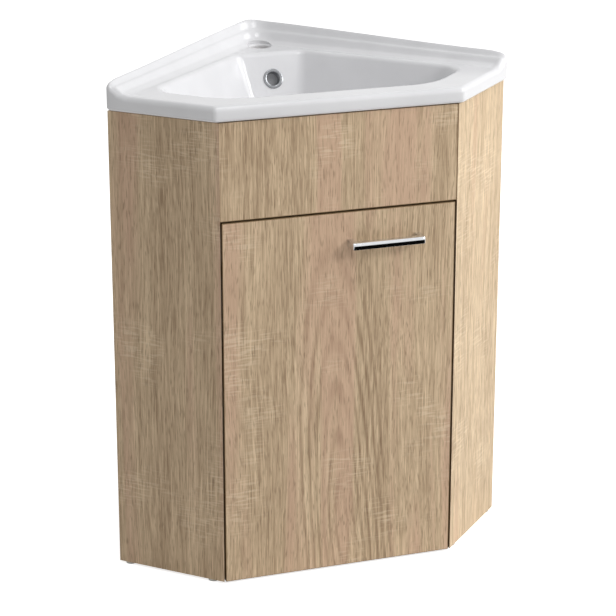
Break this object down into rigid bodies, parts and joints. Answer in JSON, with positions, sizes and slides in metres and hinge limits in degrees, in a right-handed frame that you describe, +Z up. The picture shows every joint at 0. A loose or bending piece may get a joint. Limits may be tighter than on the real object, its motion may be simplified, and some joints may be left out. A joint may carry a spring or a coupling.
{
  "type": "corner vanity unit",
  "caption": "Five-sided corner vanity: oak-laminate cabinet with one door on concealed hinges, a bar handle, and a white ceramic corner basin with a raised wall-side rim.",
  "frame": {"origin": "on the floor, at the bottom centre of the bounding box", "axes": "+Z is up; the door faces -Y; the wall corner points to +Y; X runs across the front"},
  "size_m": [0.6914, 0.508, 0.841],
  "materials": {
    "oak_board": "matt light oak laminate on chipboard, grain upright",
    "oak_edge_band": "matt light oak edge band",
    "glazed_ceramic": "glossy white glaze",
    "chrome": "polished chrome",
    "nickel_steel": "nickel-plated steel",
    "zinc_steel": "zinc-plated steel",
    "beech": "plain beech",
    "white_plastic": "moulded plastic",
    "clear_plastic": "soft clear plastic"
  },
  "bodies": {
    "carcass": {"left_side_panel": "oak_board", "right_side_panel": "oak_board", "base_panel": "oak_board", "fascia_panel": "oak_board", "fascia_edge_band": "oak_edge_band", "front_rail": "oak_board", "upper_left_rail": "oak_board", "upper_right_rail": "oak_board", "lower_left_rail": "oak_board", "lower_right_rail": "oak_board", "corner_post": "oak_board", "shelf": "oak_board", "shelf_edge_band": "oak_edge_band", "shelf_pins": "zinc_steel", "corner_bracket": "zinc_steel", "corner_bracket_screws": "zinc_steel", "basin": "glazed_ceramic", "overflow_ring": "chrome", "cam_bolts": "zinc_steel", "cam_housings": "zinc_steel", "rail_dowels": "beech", "post_screw": "zinc_steel", "fascia_screws": "zinc_steel", "glides": "white_plastic", "hinge_plates": "nickel_steel", "hinge_plate_screws": "nickel_steel", "hinge_arms": "nickel_steel", "hinge_arm_pins": "nickel_steel"},
    "door": {"door_panel": "oak_board", "door_edge_bands": "oak_edge_band", "handle": "chrome", "handle_screws": "zinc_steel", "door_bumpers": "clear_plastic", "hinge_cups": "nickel_steel", "hinge_cup_screws": "nickel_steel", "hinge_cup_pins": "nickel_steel"},
    "inner_links": {"hinge_inner_links": "nickel_steel", "hinge_elbow_pins": "nickel_steel"},
    "outer_links": {"hinge_outer_links": "nickel_steel"}
  },
  "joints": [
    {"name": "door_hinge", "type": "hinge", "parent": "carcass", "child": "door", "pos_m": [-0.2, -0.22601, 0.31], "axis": [0, 0, -1], "range_deg": [0, 95]},
    {"name": "inner_link_turn", "type": "hinge", "parent": "carcass", "child": "inner_links", "pos_m": [-0.1901, -0.19348, 0.31], "axis": [0, 0, -1], "range_deg": [0, 95]},
    {"name": "outer_link_turn", "type": "hinge", "parent": "door", "child": "outer_links", "pos_m": [-0.174, -0.20401, 0.31], "axis": [0, 0, 1], "range_deg": [0, 95]}
  ],
  "couplings": [
    {"joint": "inner_link_turn", "follows": "door_hinge", "ratio": 1},
    {"joint": "outer_link_turn", "follows": "door_hinge", "ratio": 1}
  ]
}
